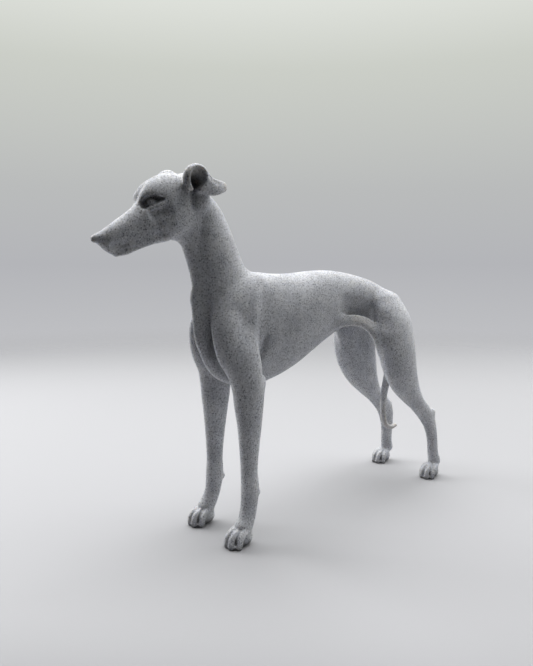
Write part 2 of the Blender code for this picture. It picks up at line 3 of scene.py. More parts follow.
import bmesh
import bpy
import numpy as np
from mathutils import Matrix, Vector


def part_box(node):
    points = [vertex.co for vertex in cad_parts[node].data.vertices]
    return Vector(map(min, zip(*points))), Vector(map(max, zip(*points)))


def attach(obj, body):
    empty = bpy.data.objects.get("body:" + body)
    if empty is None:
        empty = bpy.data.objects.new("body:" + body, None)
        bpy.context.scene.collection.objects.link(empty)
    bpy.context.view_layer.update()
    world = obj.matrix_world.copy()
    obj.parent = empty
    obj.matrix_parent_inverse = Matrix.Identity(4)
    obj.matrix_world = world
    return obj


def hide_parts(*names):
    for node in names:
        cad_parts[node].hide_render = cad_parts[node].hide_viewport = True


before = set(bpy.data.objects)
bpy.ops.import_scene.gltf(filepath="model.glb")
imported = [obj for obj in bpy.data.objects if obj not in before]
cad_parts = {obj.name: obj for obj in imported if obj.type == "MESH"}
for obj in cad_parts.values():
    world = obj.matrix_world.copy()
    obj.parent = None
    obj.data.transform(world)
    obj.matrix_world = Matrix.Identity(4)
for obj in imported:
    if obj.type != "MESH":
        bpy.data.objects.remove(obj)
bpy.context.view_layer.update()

# The whippet as it looks: the same clay as its solid, sculpted on a finer grid and with the small
# relief that the solid leaves out. It is fitted to the solid's box and printed in speckled
# marble-effect plastic. The figure faces -Y with its left side towards +X.

# The height of the withers above the soles, in metres. Stations are in hundredths of it.
WITHERS_HEIGHT = 0.110
SHARE = WITHERS_HEIGHT / 100
SOLE = 0.4

# Two corners of the block of clay that the left half is sculpted in.
BLOCK_LOW = (0, -48, -2)
BLOCK_HIGH = (22, 130, 139)
# Grid spacing of the clay, and the most triangles that the finished skin keeps.
CELL = 0.36
MOST_TRIANGLES = 190000
FAR = 1e3
# A stroke on the clay fades out at this many times its radius, and reaches this many times
# further along the axis that it is looked at.
FADE = 2.5
SLACK = 4.0

# The tip of the nose, and the angle by which the head's line rises behind it. The eye's line
# rises less.
NOSE_TIP = (0.0, -44.5, 110.5)
HEAD_PITCH = 24.0
EYE_PITCH = -11.0
# The middle of each left paw's sole, and each paw's size beside the fore paw's.
FORE_PAW = ((12.2, 1.8), 1.0)
HIND_PAW = ((14.8, 115.2), 0.95)


# Smooth curves through stations


def spline(stations, steps):
    """Points on a smooth curve through the rows of stations, with steps points to each stretch."""
    rows = np.asarray(stations, float)
    ends = np.vstack([2 * rows[0] - rows[1], rows, 2 * rows[-1] - rows[-2]])
    t = np.linspace(0, 1, steps, endpoint=False)[:, None]
    curve = []
    for before, start, end, after in zip(ends, ends[1:], ends[2:], ends[3:]):
        curve.append(
            0.5
            * (
                2 * start
                + (end - before) * t
                + (2 * before - 5 * start + 4 * end - after) * t**2
                + (3 * start - before - 3 * end + after) * t**3
            )
        )
    return np.vstack(curve + [rows[-1:]])


def profile(stations, column):
    """A smooth function of the first column of stations that passes through another column."""
    rows = np.asarray(stations, float)
    at, value = rows[:, 0], rows[:, column]
    slope = np.gradient(value, at)

    def curve(s):
        s = np.clip(s, at[0], at[-1])
        i = np.clip(np.searchsorted(at, s) - 1, 0, len(at) - 2)
        span = at[i + 1] - at[i]
        t = (s - at[i]) / span
        return (
            value[i] * (1 + 2 * t) * (1 - t) ** 2
            + slope[i] * span * t * (1 - t) ** 2
            + value[i + 1] * t**2 * (3 - 2 * t)
            + slope[i + 1] * span * t**2 * (t - 1)
        )

    return curve


# Forms: each gives its lowest and highest corner, and its distance at any point


def ellipsoid_distance(u, v, w, a, b, c):
    """Nearly the distance to an ellipsoid with half-axes a, b and c, seen from its own centre."""
    reach = np.sqrt((u / a) ** 2 + (v / b) ** 2 + (w / c) ** 2)
    steepness = np.sqrt((u / a**2) ** 2 + (v / b**2) ** 2 + (w / c**2) ** 2)
    smallest = np.minimum(np.minimum(a, b), c)
    return np.where(
        reach < 0.02, -smallest, reach * (reach - 1) / np.maximum(steepness, 1e-9)
    )


def turned_axes(pitch=0.0, yaw=0.0, roll=0.0):
    """Sideways, lengthwise and upward unit vectors, turned by degrees.

    Pitch lifts the front (-Y) end, yaw swings the front end towards +X, and roll tips the top
    towards +X.
    """
    p, q, r = np.radians([-pitch, yaw, roll])
    about_x = np.array(
        [[1, 0, 0], [0, np.cos(p), -np.sin(p)], [0, np.sin(p), np.cos(p)]]
    )
    about_z = np.array(
        [[np.cos(q), -np.sin(q), 0], [np.sin(q), np.cos(q), 0], [0, 0, 1]]
    )
    about_y = np.array(
        [[np.cos(r), 0, np.sin(r)], [0, 1, 0], [-np.sin(r), 0, np.cos(r)]]
    )
    return (about_z @ about_x @ about_y).T


def ball(centre, half_axes, pitch=0.0, yaw=0.0, roll=0.0):
    """An ellipsoid of clay. Its half-axes point sideways, lengthwise and upwards until it is turned."""
    centre = np.asarray(centre, float)
    across, along, upward = turned_axes(pitch, yaw, roll)
    reach = np.abs(np.outer(half_axes, np.ones(3)) * np.array([across, along, upward]))
    extent = np.sqrt((reach**2).sum(axis=0))

    def distance(x, y, z):
        x, y, z = x - centre[0], y - centre[1], z - centre[2]
        u = x * across[0] + y * across[1] + z * across[2]
        v = x * along[0] + y * along[1] + z * along[2]
        w = x * upward[0] + y * upward[1] + z * upward[2]
        return ellipsoid_distance(u, v, w, *half_axes)

    return centre - extent, centre + extent, distance


def segment(start, end, yaw):
    """One short straight stretch of a limb: rows of x, y, z, half-depth and half-width."""
    axis = end[:3] - start[:3]
    length = np.linalg.norm(axis)
    axis = axis / length
    sideways = np.array([np.cos(np.radians(yaw)), np.sin(np.radians(yaw)), 0.0])
    sideways -= axis * (sideways @ axis)
    sideways /= np.linalg.norm(sideways)
    forward = np.cross(axis, sideways)
    widest = max(start[3], start[4], end[3], end[4])

    def distance(x, y, z):
        x, y, z = x - start[0], y - start[1], z - start[2]
        along = x * axis[0] + y * axis[1] + z * axis[2]
        t = np.clip(along / length, 0, 1)
        depth = start[3] + (end[3] - start[3]) * t
        width = start[4] + (end[4] - start[4]) * t
        u = x * sideways[0] + y * sideways[1] + z * sideways[2]
        v = x * forward[0] + y * forward[1] + z * forward[2]
        return ellipsoid_distance(
            u, v, along - t * length, width, depth, np.minimum(depth, width)
        )

    low = np.minimum(start[:3], end[:3]) - widest
    high = np.maximum(start[:3], end[:3]) + widest
    return low, high, distance


def limb(stations, steps=5, yaw=0.0):
    """A tapering limb of oval section: rows of x, y, z, half-depth fore and aft, and half-width."""
    rows = spline(stations, steps)
    return [segment(start, end, yaw) for start, end in zip(rows, rows[1:])]


def cord(points, radii, steps=5):
    """A round cord of clay through the points, such as a tail, a tendon or the line of a groove."""
    rows = [(*point, radius, radius) for point, radius in zip(points, radii)]
    return limb(rows, steps)


def hull(stations, origin=(0.0, 0.0, 0.0), pitch=0.0, square=2.0):
    """A form lofted along its length like a ship's hull, as the rib cage and the skull are.

    Stations are rows of length, top, bottom, half-width and lift. The length runs back from
    origin, raised by pitch degrees at its back end. Lift makes the upper half of a section wider
    than its lower half, by that share each way.
    """
    rows = np.asarray(stations, float)
    top, bottom, width, lift = (profile(rows, column) for column in (1, 2, 3, 4))
    cos, sin = np.cos(np.radians(pitch)), np.sin(np.radians(pitch))
    first, last = rows[0, 0], rows[-1, 0]

    def distance(x, y, z):
        y, z = y - origin[1], z - origin[2]
        along = y * cos + z * sin
        height = z * cos - y * sin
        s = np.clip(along, first, last)
        middle = (top(s) + bottom(s)) / 2
        half_height = (top(s) - bottom(s)) / 2
        rise = (height - middle) / half_height
        half_width = width(s) * (1 + lift(s) * np.clip(rise, -1.2, 1.2))
        side = np.abs(x) / half_width
        over = (along - s) / np.minimum(half_width, half_height)
        reach = (side**square + np.abs(rise) ** square + np.abs(over) ** square) ** (
            1 / square
        )
        steepness = np.sqrt(
            (side / half_width) ** 2
            + (rise / half_height) ** 2
            + (over / np.minimum(half_width, half_height)) ** 2
        )
        inner = -np.minimum(half_width, half_height)
        return np.where(
            reach < 0.05, inner, reach * (reach - 1) / np.maximum(steepness, 1e-9)
        )

    widest = rows[:, 3].max() * (1 + np.abs(rows[:, 4]).max())
    corners = np.array(
        [
            (s * cos - h * sin + origin[1], s * sin + h * cos + origin[2])
            for s in (first - widest, last + widest)
            for h in (rows[:, 1].max(), rows[:, 2].min())
        ]
    )
    low = np.array([-widest, *corners.min(axis=0)])
    high = np.array([widest, *corners.max(axis=0)])
    return low, high, distance


# The clay itself


class Clay:
    """Signed distances on a grid over the left half of the figure, negative inside the clay."""

    def __init__(self, low, high, cell):
        self.cell = cell
        self.axes = [
            np.arange(cell / 2, high[0], cell),
            np.arange(low[1], high[1], cell),
            np.arange(low[2], high[2], cell),
        ]
        self.field = np.full([len(axis) for axis in self.axes], FAR)

    def window(self, low, high, margin):
        """The part of the grid that a form can change, and the coordinates of its points."""
        cuts = []
        for axis, start, end in zip(self.axes, low, high):
            first = np.searchsorted(axis, start - margin)
            last = np.searchsorted(axis, end + margin)
            cuts.append(slice(first, last))
        points = np.meshgrid(
            *[axis[cut] for axis, cut in zip(self.axes, cuts)],
            indexing="ij",
            sparse=True,
        )
        return tuple(cuts), points

    def measure(self, forms, blend):
        """The joint distance to the forms, and the part of the grid where it matters."""
        forms = forms if isinstance(forms, list) else [forms]
        margin = blend + 2 * self.cell
        low = np.min([form[0] for form in forms], axis=0)
        high = np.max([form[1] for form in forms], axis=0)
        outer, _ = self.window(low, high, margin)
        joint = np.full_like(self.field, FAR) if len(forms) > 1 else None
        for form_low, form_high, distance in forms:
            inner, points = self.window(form_low, form_high, margin)
            value = distance(*points)
            if joint is None:
                return inner, value
            joint[inner] = np.minimum(joint[inner], value)
        return outer, joint[outer]

    def add(self, forms, blend=1.0):
        """Presses clay on, with a fillet about as wide as blend."""
        where, value = self.measure(forms, blend)
        old = self.field[where]
        mix = np.clip(0.5 + 0.5 * (old - value) / blend, 0, 1)
        self.field[where] = old + (value - old) * mix - blend * mix * (1 - mix)

    def cut(self, forms, blend=0.5):
        """Carves clay away, with an edge about as soft as blend."""
        where, value = self.measure(forms, blend)
        old = self.field[where]
        mix = np.clip(0.5 - 0.5 * (old + value) / blend, 0, 1)
        self.field[where] = old + (-value - old) * mix + blend * mix * (1 - mix)

    def press(self, points, radius, depth, across=0):
        """Pushes the skin in by depth, or out where depth is negative, along a line of points.

        The push fades over the radius and towards both ends of the line. Along the axis across it
        reaches much further, so that the line need only lie near the skin.
        """
        rows = spline(points, 4) if len(points) > 1 else np.array([points[0]] * 2)
        reach = np.full(3, FADE * radius)
        reach[across] *= SLACK
        squeeze = np.ones(3)
        squeeze[across] = 1 / SLACK
        cuts, grid = self.window(rows.min(axis=0) - reach, rows.max(axis=0) + reach, 0)
        grid = [axis * scale for axis, scale in zip(grid, squeeze)]
        rows = rows * squeeze
        nearest = np.full(self.field[cuts].shape, FAR)
        place = np.full(self.field[cuts].shape, 0.5)
        for number, (start, end) in enumerate(zip(rows, rows[1:])):
            away = [axis - value for axis, value in zip(grid, start)]
            run = end - start
            along = sum(a * r for a, r in zip(away, run)) / max(run @ run, 1e-9)
            t = np.clip(along, 0, 1)
            gap = sum((a - t * r) ** 2 for a, r in zip(away, run))
            if len(points) > 1:
                place = np.where(gap < nearest, (number + t) / (len(rows) - 1), place)
            nearest = np.minimum(nearest, gap)
        strength = (1 - (2 * place - 1) ** 4) ** 2
        self.field[cuts] += depth * strength * np.exp(-nearest / radius**2)

    def side(self, y, z):
        """How far out the skin is at this place along and up the figure."""
        column = self.field[:, np.searchsorted(self.axes[1], y), np.searchsorted(self.axes[2], z)]
        last = np.flatnonzero(column < 0)[-1]
        share = column[last] / (column[last] - min(column[last + 1], self.cell))
        return self.axes[0][last] + share * self.cell

    def soften(self):
        """Rounds off the creases that are sharper than the grid can show."""
        for axis in range(3):
            field = np.moveaxis(self.field, axis, 0)
            before = field[0] if axis == 0 else field[1]
            ahead = np.concatenate([field[1:], field[-1:]])
            behind = np.concatenate([before[None], field[:-1]])
            self.field = np.moveaxis((behind + 2 * field + ahead) / 4, 0, axis)

    def level(self, height):
        """Cuts everything below a height away."""
        self.field = np.maximum(self.field, height - self.axes[2][None, None, :])

    def fill_pinches(self, rounds=4):
        """Fills in the places where the skin would touch itself along an edge."""
        fill = -0.05 * self.cell
        for _ in range(rounds):
            for first, second in ((0, 1), (0, 2), (1, 2)):
                field = np.moveaxis(self.field, (first, second), (0, 1))
                near, far = field[:-1, :-1], field[1:, 1:]
                left, right = field[1:, :-1], field[:-1, 1:]
                pinch = ((near < 0) == (far < 0)) & ((left < 0) == (right < 0))
                pinch &= (near < 0) != (left < 0)
                for corner in (near, far, left, right):
                    corner[pinch & (corner > fill)] = fill

    def skin(self):
        """The surface of both halves as points and quads, one point to each grid cell it crosses."""
        field = np.concatenate([self.field[::-1], self.field])
        origin = np.array([-self.axes[0][-1], self.axes[1][0], self.axes[2][0]])
        corners = np.array([(i, j, k) for i in (0, 1) for j in (0, 1) for k in (0, 1)])
        cells = np.array(field.shape) - 1
        inside = np.zeros(cells, int)
        for i, j, k in corners:
            inside += (
                field[i : i + cells[0], j : j + cells[1], k : k + cells[2]] < 0
            )
        crossed = np.argwhere((inside > 0) & (inside < len(corners)))
        number = np.full(cells, -1)
        number[tuple(crossed.T)] = np.arange(len(crossed))
        at = (crossed[:, None] + corners[None]).reshape(-1, 3)
        value = field[tuple(at.T)].reshape(-1, len(corners))
        total = np.zeros((len(crossed), 3))
        count = np.zeros(len(crossed))
        for a in range(len(corners)):
            for b in range(a + 1, len(corners)):
                if np.abs(corners[a] - corners[b]).sum() != 1:
                    continue
                cuts = (value[:, a] < 0) != (value[:, b] < 0)
                t = value[cuts, a] / (value[cuts, a] - value[cuts, b])
                total[cuts] += corners[a] + t[:, None] * (corners[b] - corners[a])
                count[cuts] += 1
        points = crossed + total / count[:, None]
        quads = np.vstack([self.quads(field, number, axis) for axis in range(3)])
        points = self.settle(field, points)
        return origin + points * self.cell, quads

    @staticmethod
    def quads(field, number, axis):
        """The faces round the grid edges that run along one axis and pass through the skin."""
        one, two = (axis + 1) % 3, (axis + 2) % 3
        ahead = [slice(1, -1)] * 3
        ahead[axis] = slice(1, None)
        here = [slice(1, -1)] * 3
        here[axis] = slice(None, -1)
        start, end = field[tuple(here)] < 0, field[tuple(ahead)] < 0
        edge = np.argwhere(start != end)
        outward = start[tuple(edge.T)]
        edge[:, one] += 1
        edge[:, two] += 1
        ring = []
        for back_one, back_two in ((1, 1), (0, 1), (0, 0), (1, 0)):
            cell = edge.copy()
            cell[:, one] -= back_one
            cell[:, two] -= back_two
            ring.append(number[tuple(cell.T)])
        ring = np.array(ring).T
        return np.where(outward[:, None], ring, ring[:, ::-1])

    @staticmethod
    def settle(field, points, rounds=3):
        """Moves each point onto the zero of the field, along the field's slope."""
        slopes = np.gradient(field)
        top = np.array(field.shape) - 2
        for _ in range(rounds):
            base = np.clip(np.floor(points).astype(int), 0, top)
            part = points - base
            value = 0.0
            slope = np.zeros_like(points)
            for i in (0, 1):
                for j in (0, 1):
                    for k in (0, 1):
                        weight = (
                            (part[:, 0] if i else 1 - part[:, 0])
                            * (part[:, 1] if j else 1 - part[:, 1])
                            * (part[:, 2] if k else 1 - part[:, 2])
                        )
                        at = tuple((base + (i, j, k)).T)
                        value = value + weight * field[at]
                        slope += weight[:, None] * np.stack(
                            [s[at] for s in slopes], axis=1
                        )
            step = value[:, None] * slope / (slope**2).sum(axis=1)[:, None]
            points = points - np.clip(step, -0.5, 0.5)
        return points


# The whippet


def sculpt_trunk(clay):
    """The rib cage, the arched loin and the croup, with the keel of the breastbone below."""
    trunk = [
        # length, top, bottom, half-width, lift
        (-2, 88, 72, 5.0, 0.05),
        (3, 94, 64, 8.0, 0.12),
        (9, 97.5, 59, 9.8, 0.16),
        (18, 99.4, 56.3, 10.9, 0.18),
        (28, 98.8, 57.8, 11.3, 0.16),
        (38, 98.8, 61.3, 11.2, 0.12),
        (48, 99.6, 66.4, 10.4, 0.10),
        (57, 99.9, 71.0, 9.2, 0.08),
        (66, 99.2, 74.6, 8.3, 0.05),
        (76, 97.5, 76.2, 8.2, 0.0),
        (86, 94.9, 75.6, 8.4, 0.0),
        (94, 91.2, 75.0, 7.4, 0.0),
        (101, 85.4, 76.0, 5.2, 0.0),
    ]
    clay.add(hull(trunk, square=2.15), 1.0)
    keel = [
        (0, -5.6, 90.0),
        (0, -3.8, 83.0),
        (0, -2.9, 77.0),
        (0, -2.2, 72.0),
        (0, 0.2, 66.5),
        (0, 4.2, 62.2),
        (0, 11.0, 59.0),
    ]
    clay.add(cord(keel, [2.4, 2.5, 2.6, 2.7, 2.7, 2.6, 2.4]), 3.5)


def sculpt_neck(clay):
    """The long arched neck."""
    neck = [
        (0, 8.8, 83.0, 14.0, 8.4),
        (0, 5.2, 92.0, 12.5, 7.7),
        (0, 1.8, 102.0, 10.9, 6.9),
        (0, -1.3, 110.5, 10.2, 6.3),
        (0, -5.4, 118.0, 9.6, 6.0),
        (0, -11.2, 123.5, 7.8, 5.8),
    ]
    clay.add(limb(neck, 9), 4.5)


def sculpt_head(clay):
    """The long skull and muzzle, with the lower jaw set in below."""
    skull = [
        # length back from the nose, top, bottom, half-width, lift
        (1.0, 0.4, -2.0, 1.3, 0.0),
        (3.6, 0.7, -6.9, 2.4, 0.05),
        (6.0, 1.1, -7.7, 2.9, 0.14),
        (10.0, 1.9, -8.0, 3.4, 0.14),
        (14.0, 2.7, -8.5, 3.9, 0.06),
        (18.0, 3.8, -9.2, 4.6, 0.0),
        (21.0, 5.4, -9.6, 5.2, 0.12),
        (24.0, 8.0, -10.2, 6.0, 0.18),
        (28.0, 9.5, -12.6, 6.8, 0.16),
        (33.0, 9.5, -13.7, 7.1, 0.08),
        (38.0, 7.4, -8.0, 6.2, 0.0),
    ]
    clay.add(hull(skull, NOSE_TIP, HEAD_PITCH, square=2.25), 2.5)
    jaw = [
        (6.0, -5.0, -8.8, 1.6, 0.0),
        (8.2, -5.0, -9.4, 2.3, 0.0),
        (12.0, -5.5, -9.5, 2.8, 0.0),
        (18.0, -6.0, -10.0, 3.6, 0.0),
        (24.0, -6.5, -11.2, 4.4, 0.0),
    ]
    clay.add(hull(jaw, NOSE_TIP, HEAD_PITCH, square=2.4), 0.6)
    clay.add(ball(on_head(2.0, -0.6, 0.0), (1.5, 1.8, 1.1), pitch=-HEAD_PITCH), 0.7)
    clay.add(ball(on_head(24.8, 5.4, 2.3), (2.7, 4.6, 2.6), pitch=-HEAD_PITCH - 8), 2.6)
    clay.add(ball(on_head(28.0, -4.8, 4.6), (2.5, 5.6, 5.0), pitch=-HEAD_PITCH), 2.0)


def on_head(back, up, side):
    """The place so far back from the tip of the nose, up from the muzzle's line and sideways."""
    pitch = np.radians(HEAD_PITCH)
    return (
        side,
        NOSE_TIP[1] + back * np.cos(pitch) - up * np.sin(pitch),
        NOSE_TIP[2] + back * np.sin(pitch) + up * np.cos(pitch),
    )


def carve_face(clay):
    """The eye in its socket, the hollow of the cheek, the nostril and the line of the mouth."""
    cheek = [on_head(19.0, -0.2, 4.8), on_head(22.5, -0.6, 5.5), on_head(27.5, -1.6, 6.5)]
    clay.press(cheek, 2.0, 1.3)
    orbit = [on_head(19.9, 3.1, 3.5), on_head(22.6, 3.6, 4.9), on_head(25.6, 2.7, 6.1)]
    clay.cut(cord(orbit, [1.6, 1.7, 0.6]), 0.5)
    clay.add(ball(on_head(22.6, 2.9, 3.1), (1.3, 1.7, 1.3), pitch=EYE_PITCH), 0.3)
    lid = [on_head(19.8, 1.9, 4.4), on_head(22.4, 1.1, 5.0), on_head(25.4, 1.4, 5.7)]
    clay.press(lid, 0.7, -0.35)
    mouth = [
        on_head(4.2, -6.7, 1.6),
        on_head(8.0, -7.5, 2.4),
        on_head(12.0, -8.1, 3.0),
        on_head(17.0, -8.6, 3.8),
    ]
    clay.press(mouth, 0.5, 0.6)
    clay.press([on_head(3.4, -4.2, 2.0), on_head(6.2, -5.2, 2.5), on_head(10.4, -6.0, 3.0)], 1.4, 1.0)
    nostril = [on_head(2.6, -1.8, 1.3), on_head(3.4, -2.6, 1.7), on_head(4.4, -3.4, 2.0)]
    clay.press(nostril, 0.5, 0.3)


def sculpt_foreleg(clay):
    """The shoulder, the upper arm laid back to the elbow, and the straight foreleg."""
    shoulder = [
        (4.2, 18.0, 94.5, 4.0, 2.8),
        (6.4, 9.2, 88.0, 8.0, 3.9),
        (7.5, 5.0, 80.0, 8.6, 4.9),
        (8.7, 5.2, 72.0, 8.1, 5.4),
    ]
    foreleg = [
        (9.7, 7.9, 64.0, 7.0, 5.3),
        (10.4, 8.9, 58.0, 6.5, 4.95),
        (10.6, 9.0, 52.0, 5.9, 4.6),
        (10.9, 9.0, 44.0, 4.85, 3.9),
        (11.0, 8.8, 36.0, 3.95, 3.35),
        (11.1, 8.6, 27.0, 3.3, 2.95),
        (11.4, 8.7, 20.0, 3.5, 3.35),
        (11.6, 8.0, 14.0, 3.2, 3.0),
        (12.0, 6.6, 9.5, 3.2, 3.1),
        (12.2, 4.6, 6.4, 3.4, 3.4),
    ]
    clay.add(limb(shoulder + foreleg, 13), 2.0)
    clay.add(ball((11.3, 12.2, 18.2), (1.3, 1.2, 1.6)), 0.8)
    clay.add(ball((11.4, 13.6, 59.4), (2.2, 2.0, 3.6), pitch=15), 1.2)


def sculpt_paw(clay, centre, size):
    """Four arched toes round a broad pad. The centre is the middle of the sole, on the ground."""
    x, y = centre
    clay.add(ball((x, y + 2.2 * size, 3.4 * size), (3.6 * size, 4.5 * size, 3.5 * size)), 1.0)
    toes = [(-3.0, -1.1, 0.95), (-1.15, -3.0, 1.05), (1.15, -3.0, 1.05), (3.0, -1.1, 0.95)]
    for side, front, girth in toes:
        toe = cord(
            [
                (x + 0.55 * side * size, y + (front + 5.2) * size, 6.2 * size),
                (x + 0.85 * side * size, y + (front + 2.3) * size, 5.6 * size),
                (x + side * size, y + (front + 0.2) * size, 3.8 * size),
                (x + side * size, y + front * size, 1.4 * size),
            ],
            [1.5 * girth * size, 1.6 * girth * size, 1.5 * girth * size, 1.4 * girth * size],
            3,
        )
        clay.add(toe, 0.35)


def sculpt_hindleg(clay):
    """The broad thigh, the bent stifle, the gaskin and the upright hock."""
    thigh = [
        (6.5, 90.5, 85.0, 10.6, 5.5),
        (10.0, 90.8, 77.0, 12.6, 6.6),
        (12.0, 91.3, 68.5, 11.9, 6.6),
        (12.7, 93.0, 60.0, 11.0, 6.4),
        (12.6, 96.5, 52.0, 9.4, 5.4),
        (12.7, 101.7, 44.2, 6.4, 4.1),
        (12.8, 107.2, 38.0, 4.4, 3.1),
        (12.8, 113.3, 32.2, 4.4, 2.6),
        (13.2, 117.1, 27.0, 4.5, 2.35),
        (13.7, 118.9, 20.0, 3.5, 2.3),
        (14.2, 119.4, 12.0, 3.0, 2.4),
        (14.5, 120.4, 7.5, 3.2, 2.8),
    ]
    clay.add(limb(thigh, 13, yaw=9.5), 3.0)
    clay.add(ball((13.2, 118.6, 31.0), (1.6, 2.4, 2.4)), 1.2)


def sculpt_flank(clay):
    """The thin fold of skin from the belly to the thigh, and the hollow above it."""
    fold = [
        (5.2, 51.0, 76.6, 3.0, 1.0),
        (6.8, 57.0, 78.7, 3.0, 1.1),
        (7.9, 63.0, 79.3, 3.0, 1.2),
        (8.7, 69.0, 79.3, 3.2, 1.3),
        (9.6, 75.5, 77.2, 3.6, 1.5),
        (10.8, 81.0, 72.0, 4.0, 1.8),
        (11.2, 85.0, 65.0, 4.4, 1.8),
    ]
    clay.add(limb(fold, 16), 1.4)
    hollow = [(10.5, 56.0, 84.6), (11.0, 66.0, 84.0), (12.0, 76.0, 81.0), (13.5, 84.5, 72.0)]
    clay.press(hollow, 3.6, 1.9)


def carve_shoulder(clay):
    """The furrow down the neck, the groove before the shoulder and the fold behind the upper arm."""
    furrow = [(4.5, -6.4, 118), (4.5, -7.2, 110), (4.5, -7.0, 103), (4.4, -5.9, 96), (4.2, -5.0, 89)]
    clay.press(furrow, 1.9, 0.9)
    groove = [(3.6, -7.4, 98), (3.6, -6.9, 93), (3.6, -6.2, 88), (3.7, -5.6, 78), (4.4, -3.4, 68)]
    for start in range(3):
        clay.press(groove[start:], 1.9, 0.9, across=1)
    ridge = [(5.8, -5.6, 93), (6.1, -5.2, 84), (7.0, -3.6, 74), (8.6, -0.4, 63)]
    clay.press(ridge, 1.7, -0.6, across=1)
    armpit = [(11, 17.8, 78), (12, 16.6, 72), (13, 15.2, 66), (13, 13.6, 59)]
    clay.press(armpit, 1.2, 1.5)
    clay.press([(10, 2.0, 90.0), (11, 5.5, 82), (12, 5.0, 72)], 3.2, 0.6)
    blade = [(9, 15.0, 97), (12, 12.0, 86), (13, 11.6, 74), (13, 10.4, 60)]
    clay.press(blade, 2.4, -0.6)


def sculpt_tail(clay):
    """The tail hangs from the croup between the hind legs, and its tip curls back."""
    points = [
        (0, 99.5, 82.0),
        (0, 105.6, 78.6),
        (0, 108.0, 72.0),
        (0, 105.5, 61.0),
        (0, 101.5, 50.0),
        (0, 98.8, 40.0),
        (0, 98.5, 32.0),
        (0, 100.4, 26.2),
        (0, 104.3, 23.9),
        (0, 108.2, 24.2),
    ]
    radii = [3.2, 2.6, 2.2, 2.1, 1.9, 1.6, 1.4, 1.25, 1.1, 0.9]
    clay.add(cord(points, radii), 1.5)


def sculpt_ear(clay):
    """The rose ear: a hooded opening at the side of the skull, and a flap folded back from it."""
    clay.add(ball((8.7, -11.3, 130.6), (2.9, 4.9, 4.75), roll=10), 1.2)
    flap = [
        (9.5, -9.2, 129.7, 3.6, 1.3),
        (9.1, -5.7, 128.3, 3.1, 1.4),
        (8.4, -2.0, 128.4, 2.5, 1.3),
        (7.6, 0.8, 128.8, 1.8, 1.0),
    ]
    clay.add(ball((5.4, -7.8, 124.0), (3.0, 3.8, 4.0)), 2.0)
    clay.add(limb(flap), 0.9)
    hollow = cord(
        [(11.4, -11.5, 131.0), (10.2, -11.6, 129.8), (9.0, -11.7, 128.0)],
        [3.0, 2.7, 1.2],
        4,
    )
    clay.cut(hollow, 0.5)
    clay.press([(9.8, -11.0, 128.6), (8.6, -11.7, 124.6), (7.6, -11.7, 120.0)], 0.9, 0.9)


# Fine relief, which the solid leaves out


def on_skin(clay, back, up, sunk=0.0):
    """The place on the side of the head that on_head gives, sunk so far below the skin."""
    _, y, z = on_head(back, up, 0.0)
    return clay.side(y, z) - sunk, y, z


def refine_eye(clay):
    """The eye in its socket, above a thin lower lid."""
    corner, outer = on_skin(clay, 19.6, 1.6, 0.2), on_skin(clay, 26.6, 2.2, 0.2)
    lower = [corner, on_skin(clay, 21.6, 1.2, 0.1), on_skin(clay, 24.0, 1.2, 0.1), outer]
    clay.add(cord(lower, [0.25, 0.4, 0.4, 0.3]), 0.4)
    clay.add(ball(on_head(22.6, 2.8, 3.2), (1.35, 1.8, 1.35), pitch=EYE_PITCH), 0.1)


def refine_nose(clay):
    """The nostrils and the thin line between the lips."""
    clay.press([on_head(2.4, -1.6, 1.3), on_head(3.2, -2.4, 1.7)], 0.4, 0.35)
    lips = [on_head(4.6, -7.2, 1.8), on_head(8.0, -7.9, 2.5), on_head(13.0, -8.2, 3.2)]
    clay.press(lips, 0.3, 0.4)


def refine_ear(clay):
    """The depth of the opening, and the fold that runs along the flap."""
    opening = [(10.2, -11.5, 130.6), (8.0, -11.4, 129.6), (6.4, -11.3, 128.4)]
    clay.cut(cord(opening, [2.0, 1.8, 1.1]), 0.6)
    clay.press([(11.2, -8.4, 132.4), (10.6, -5.4, 130.2), (9.6, -1.4, 128.8)], 0.5, 0.4)


def refine_paws(clay, centre, size):
    """The grooves between the toes, and the claws."""
    x, y = centre
    for side, front in ((-3.0, -1.1), (-1.15, -3.0), (1.15, -3.0), (3.0, -1.1)):
        claw = [
            (x + side * size, y + (front - 1.0) * size, 2.5 * size),
            (x + side * size, y + (front - 1.9) * size, 1.6 * size),
        ]
        clay.add(cord(claw, [0.5 * size, 0.28 * size], 3), 0.25)
    for side, front in ((-2.1, -1.6), (0.0, -3.0), (2.1, -1.6)):
        groove = [
            (x + 0.6 * side * size, y + (front + 4.6) * size, 8.0 * size),
            (x + side * size, y + (front + 1.6) * size, 6.6 * size),
            (x + side * size, y + (front - 0.6) * size, 3.6 * size),
            (x + side * size, y + (front - 0.4) * size, 1.2 * size),
        ]
        clay.press(groove, 0.42, 0.8)


def sculpt():
    """The whole figure in clay, with its fine relief."""
    clay = Clay(BLOCK_LOW, BLOCK_HIGH, CELL)
    sculpt_trunk(clay)
    sculpt_neck(clay)
    sculpt_hindleg(clay)
    sculpt_flank(clay)
    sculpt_foreleg(clay)
    carve_shoulder(clay)
    sculpt_head(clay)
    carve_face(clay)
    sculpt_ear(clay)
    sculpt_tail(clay)
    sculpt_paw(clay, *FORE_PAW)
    sculpt_paw(clay, *HIND_PAW)
    refine_eye(clay)
    refine_nose(clay)
    refine_ear(clay)
    refine_paws(clay, *FORE_PAW)
    refine_paws(clay, *HIND_PAW)
    clay.soften()
    clay.level(SOLE)
    clay.fill_pinches()
    return clay


# The printed figure


